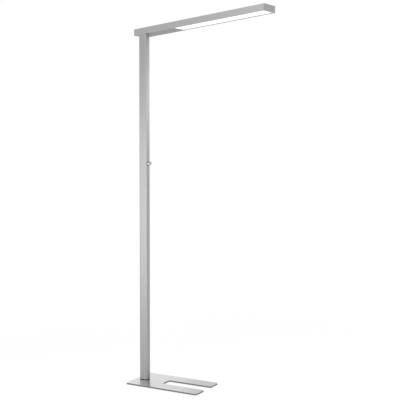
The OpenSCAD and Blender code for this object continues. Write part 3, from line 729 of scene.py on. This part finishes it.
def make_head():
    lo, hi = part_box("end_cap_near")
    outer_y, outer_z = (lo.y, hi.y), (lo.z, hi.z)
    close = 0.01 * MM

    def on_long_edge(co):
        return (
            min(abs(co.y - y) for y in outer_y) < close
            and min(abs(co.z - z) for z in outer_z) < close
        )

    put("head_channel", eased("head_housing", CHANNEL_EDGE, on_long_edge), "head_housing")
    outer_ends = {
        "end_cap_near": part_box("end_cap_near")[0].x,
        "end_cap_far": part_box("end_cap_far")[1].x,
    }
    for node, outer_x in outer_ends.items():

        def on_rim(co):
            on_top_or_bottom = min(abs(co.z - z) for z in outer_z) < close
            return abs(co.x - outer_x) < close or on_top_or_bottom

        put(node + "_plate", eased(node, CAP_EDGE, on_rim), node)
    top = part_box("top_cover")[1].z

    def on_top(co):
        return co.z > top - close

    put("top_cover_sheet", eased("top_cover", SHEET_EDGE, on_top), "top_cover")
    put("top_opal_sheet", eased("indirect_cover", SHEET_EDGE, on_top), "indirect_cover")


make_head()

# ---------- knob, gland, pads and spring ----------

KNOB_RECESS_R, KNOB_RECESS_T = 8.2 * MM, 3.5 * MM
KNOB_BORE_R, KNOB_BORE_GAP = 3.05 * MM, 0.05 * MM
KNOB_BACK_EDGE, KNOB_FACE_EDGE = 0.4 * MM, 1.0 * MM
DISH_IN, DISH_LIP, DISH_LIP_T, DISH_T = 2.6 * MM, 0.5 * MM, 0.12 * MM, 0.5 * MM
GRUB_HOLE_R = 1.6 * MM
GLAND_BORE_R, GLAND_MOUTH_R, GLAND_MOUTH_T = 3.75 * MM, 4.35 * MM, 0.6 * MM
GLAND_BODY_R, FLANGE_T, FLANGE_EDGE, FLANGE_STEP = 6 * MM, 2.5 * MM, 1.2 * MM, 0.35 * MM
PAD_R, PAD_RIM, PRONG_PAD_Y = 12 * MM, 0.6 * MM, 67 * MM
MIDDLE_PAD_HALF, MIDDLE_PAD_RIM = Vector((33 * MM, 20 * MM)), 0.3 * MM


def rounded_rim(radius, z, edge, steps=4):
    """Profile points of a rounded rim, from the side of a turned part over to its face."""
    points = []
    for k in range(steps + 1):
        a = math.pi / 2 * k / steps
        points.append((radius - edge * (1 - math.cos(a)), z - edge * (1 - math.sin(a))))
    return points


def make_knob():
    lo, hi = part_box("dimmer_knob")
    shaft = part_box("dimmer_shaft")[1]
    depth, radius = hi.x - lo.x, (hi.y - lo.y) / 2
    bore_t = shaft.x - lo.x + KNOB_BORE_GAP
    dish_r = radius - DISH_IN
    profile = [
        (0, bore_t),
        (KNOB_BORE_R, bore_t),
        (KNOB_BORE_R, KNOB_RECESS_T),
        (KNOB_RECESS_R, KNOB_RECESS_T),
        (KNOB_RECESS_R, 0),
        (radius - KNOB_BACK_EDGE, 0),
        (radius, KNOB_BACK_EDGE),
        *rounded_rim(radius, depth, KNOB_FACE_EDGE),
        (dish_r + DISH_LIP, depth),
        (dish_r, depth - DISH_LIP_T),
        (dish_r * 0.6, depth - DISH_T * 0.8),
        (dish_r * 0.25, depth - DISH_T),
        (0, depth - DISH_T),
    ]
    place = along_x(lo.x, (lo.y + hi.y) / 2, (lo.z + hi.z) / 2)
    knob = put("knob_turned", turned(profile, place, 96), "dimmer_knob")
    screw_lo, screw_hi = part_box("knob_grub_screw")
    centre = (screw_lo + screw_hi) / 2
    hole = turned(
        [(0, -2 * radius), (GRUB_HOLE_R, -2 * radius), (GRUB_HOLE_R, 0), (0, 0)],
        Matrix.Translation((centre.x, centre.y, (lo.z + hi.z) / 2)),
        24,
    )
    cut(knob, [hole])


def make_gland():
    lo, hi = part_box("cable_gland")
    depth, radius = hi.x - lo.x, (hi.y - lo.y) / 2
    profile = [
        (GLAND_BORE_R, depth),
        (GLAND_BORE_R, GLAND_MOUTH_T),
        (GLAND_MOUTH_R, 0),
        (radius - FLANGE_EDGE, 0),
        (radius - FLANGE_STEP, FLANGE_STEP),
        (radius, FLANGE_EDGE),
        (radius, FLANGE_T),
        (GLAND_BODY_R, FLANGE_T),
        (GLAND_BODY_R, depth),
    ]
    place = along_x(lo.x, 0, (lo.z + hi.z) / 2)
    put("cable_gland_flange", turned(profile, place, 64), "cable_gland")


def make_pads():
    """Six round pads and the middle pad, all in one piece as in the CAD."""
    lo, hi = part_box("base_pads")
    top = hi.z
    slot_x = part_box("base_plate")[1].x - SLOT_L
    places = [
        (lo.x + PAD_R, hi.y - PAD_R),
        (slot_x, PRONG_PAD_Y),
        (hi.x - PAD_R, PRONG_PAD_Y),
    ]
    rim = [(r, top - h) for r, h in rounded_rim(PAD_R, top, PAD_RIM)]
    profile = [(0, 0), *reversed(rim), (PAD_R, top), (0, top)]
    whole = bmesh.new()
    for x, y in places:
        for side in (-1, 1):
            add_to(whole, turned(profile, Matrix.Translation((x, side * y, 0)), 48))
    plan = rectangle(-MIDDLE_PAD_HALF, MIDDLE_PAD_HALF, REAR_R)
    add_to(whole, slab(plan, 0, top, MIDDLE_PAD_RIM, 2))
    put("anti_slip_pads", whole, "base_pads")


def add_to(whole, shape):
    """Adds one bmesh to another."""
    mesh = bpy.data.meshes.new("part")
    shape.to_mesh(mesh)
    shape.free()
    whole.from_mesh(mesh)
    bpy.data.meshes.remove(mesh)


def make_spring():
    """The dimmer's return spring, as a piece with a mesh of its own; the real spring gives way as the knob
    is pushed.
    """
    shape = bmesh.new()
    shape.from_mesh(frame["nodes"]["dimmer_spring"].data)
    spring = put("return_spring", shape, "dimmer_spring")
    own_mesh(spring)


make_knob()
make_gland()
make_pads()
make_spring()

# ---------- studio ----------

WHITE = (1.0, 1.0, 1.0, 1.0)
WORLD_LEVEL = 0.55
FLOOR_HALF = 40.0
# The white floor shows the lamp's shadow up to this far out, and then the shadow fades
SHADOW_R, SHADOW_FADE = 0.9, 0.9
SHADE, GLOW_BY_LAMP = 0.38, 0.71


def seen_directly(recipe):
    """1 for camera, glossy and transmission rays, which see the white studio."""
    seen = [
        recipe.node("ShaderNodeLightPath", output=name)
        for name in ("Is Camera Ray", "Is Glossy Ray", "Is Transmission Ray")
    ]
    total = seen[0] + seen[1] + seen[2]
    return total.maths("MINIMUM", total, 1.0)


class Studio(Finish):
    """The same node methods for the world and the floor, on an emptied tree."""

    def __init__(self, tree):
        self.tree = tree
        tree.nodes.clear()


def make_world():
    world = bpy.data.worlds.new("studio")
    scene.world = world
    world.use_nodes = True
    recipe = Studio(world.node_tree)
    lit = recipe.node("ShaderNodeBackground", None, {"Color": WHITE, "Strength": WORLD_LEVEL})
    white = recipe.node("ShaderNodeBackground", None, {"Color": WHITE, "Strength": 1.0})
    mixed = recipe.node("ShaderNodeMixShader", None, {0: seen_directly(recipe), 1: lit, 2: white})
    output = world.node_tree.nodes.new("ShaderNodeOutputWorld")
    plug(world.node_tree, output.inputs["Surface"], mixed)


def make_floor():
    shape = bmesh.new()
    signs = [(-1, -1), (1, -1), (1, 1), (-1, 1)]
    shape.faces.new([shape.verts.new((x * FLOOR_HALF, y * FLOOR_HALF, 0)) for x, y in signs])
    mesh = bpy.data.meshes.new("floor")
    shape.to_mesh(mesh)
    shape.free()
    floor = bpy.data.objects.new("floor", mesh)
    scene.collection.objects.link(floor)
    material = bpy.data.materials.new("white floor")
    material.use_nodes = True
    material.cycles.emission_sampling = "NONE"
    recipe = Studio(material.node_tree)
    recipe.point = recipe.node("ShaderNodeTexCoord", output="Object")
    plain = recipe.node("ShaderNodeBsdfDiffuse", None, {"Color": (0.8, 0.8, 0.8, 1)})
    shaded = recipe.node("ShaderNodeBsdfDiffuse", None, {"Color": (SHADE, SHADE, SHADE, 1)})
    glow = recipe.node("ShaderNodeEmission", None, {"Color": WHITE, "Strength": GLOW_BY_LAMP})
    by_lamp = recipe.node("ShaderNodeAddShader", None, {0: shaded, 1: glow})
    far_off = recipe.node("ShaderNodeEmission", None, {"Color": WHITE, "Strength": 1.0})
    x, y = recipe.axis("X"), recipe.axis("Y")
    distance = x.maths("SQRT", x * x + y * y)
    far = (distance - SHADOW_R) / SHADOW_FADE
    far = far.maths("MINIMUM", far.maths("MAXIMUM", far, 0.0), 1.0)
    shown = recipe.node("ShaderNodeMixShader", None, {0: far, 1: by_lamp, 2: far_off})
    mixed = recipe.node("ShaderNodeMixShader", None, {0: seen_directly(recipe), 1: plain, 2: shown})
    output = material.node_tree.nodes.new("ShaderNodeOutputMaterial")
    plug(material.node_tree, output.inputs["Surface"], mixed)
    mesh.materials.append(material)


def softbox(name, place, target, width, height, power):
    """A soft lamp that the camera doesn't see, turned towards a point."""
    data = bpy.data.lights.new(name, "AREA")
    data.shape = "RECTANGLE"
    data.size, data.size_y = width, height
    data.energy = power
    lamp = bpy.data.objects.new(name, data)
    scene.collection.objects.link(lamp)
    lamp.location = place
    lamp.rotation_euler = (Vector(target) - Vector(place)).to_track_quat("-Z", "Y").to_euler()
    lamp.visible_camera = False


make_world()
make_floor()
softbox("front softbox", (-0.36, -2.07, 0.84), (0, 0, 0.86), 3.0, 1.6, 21)
softbox("right softbox", (2.24, -0.2, 0.84), (0, 0, 0.86), 2.4, 1.6, 16)
softbox("head softbox", (-0.2, -2.4, 2.6), (0.6, 0, 1.93), 0.9, 0.5, 2.5)
softbox("neck softbox", (1.3, 1.6, 1.75), (0.02, 0, 1.88), 0.5, 0.3, 2)
softbox("base softbox", (-1.05, 1.25, 0.5), (0, 0, 0), 0.7, 0.35, 0.36)
softbox("top softbox", (0.6, 0.4, 4.2), (0.2, 0, 0), 2.0, 2.0, 15)

scene.view_settings.view_transform = "Standard"
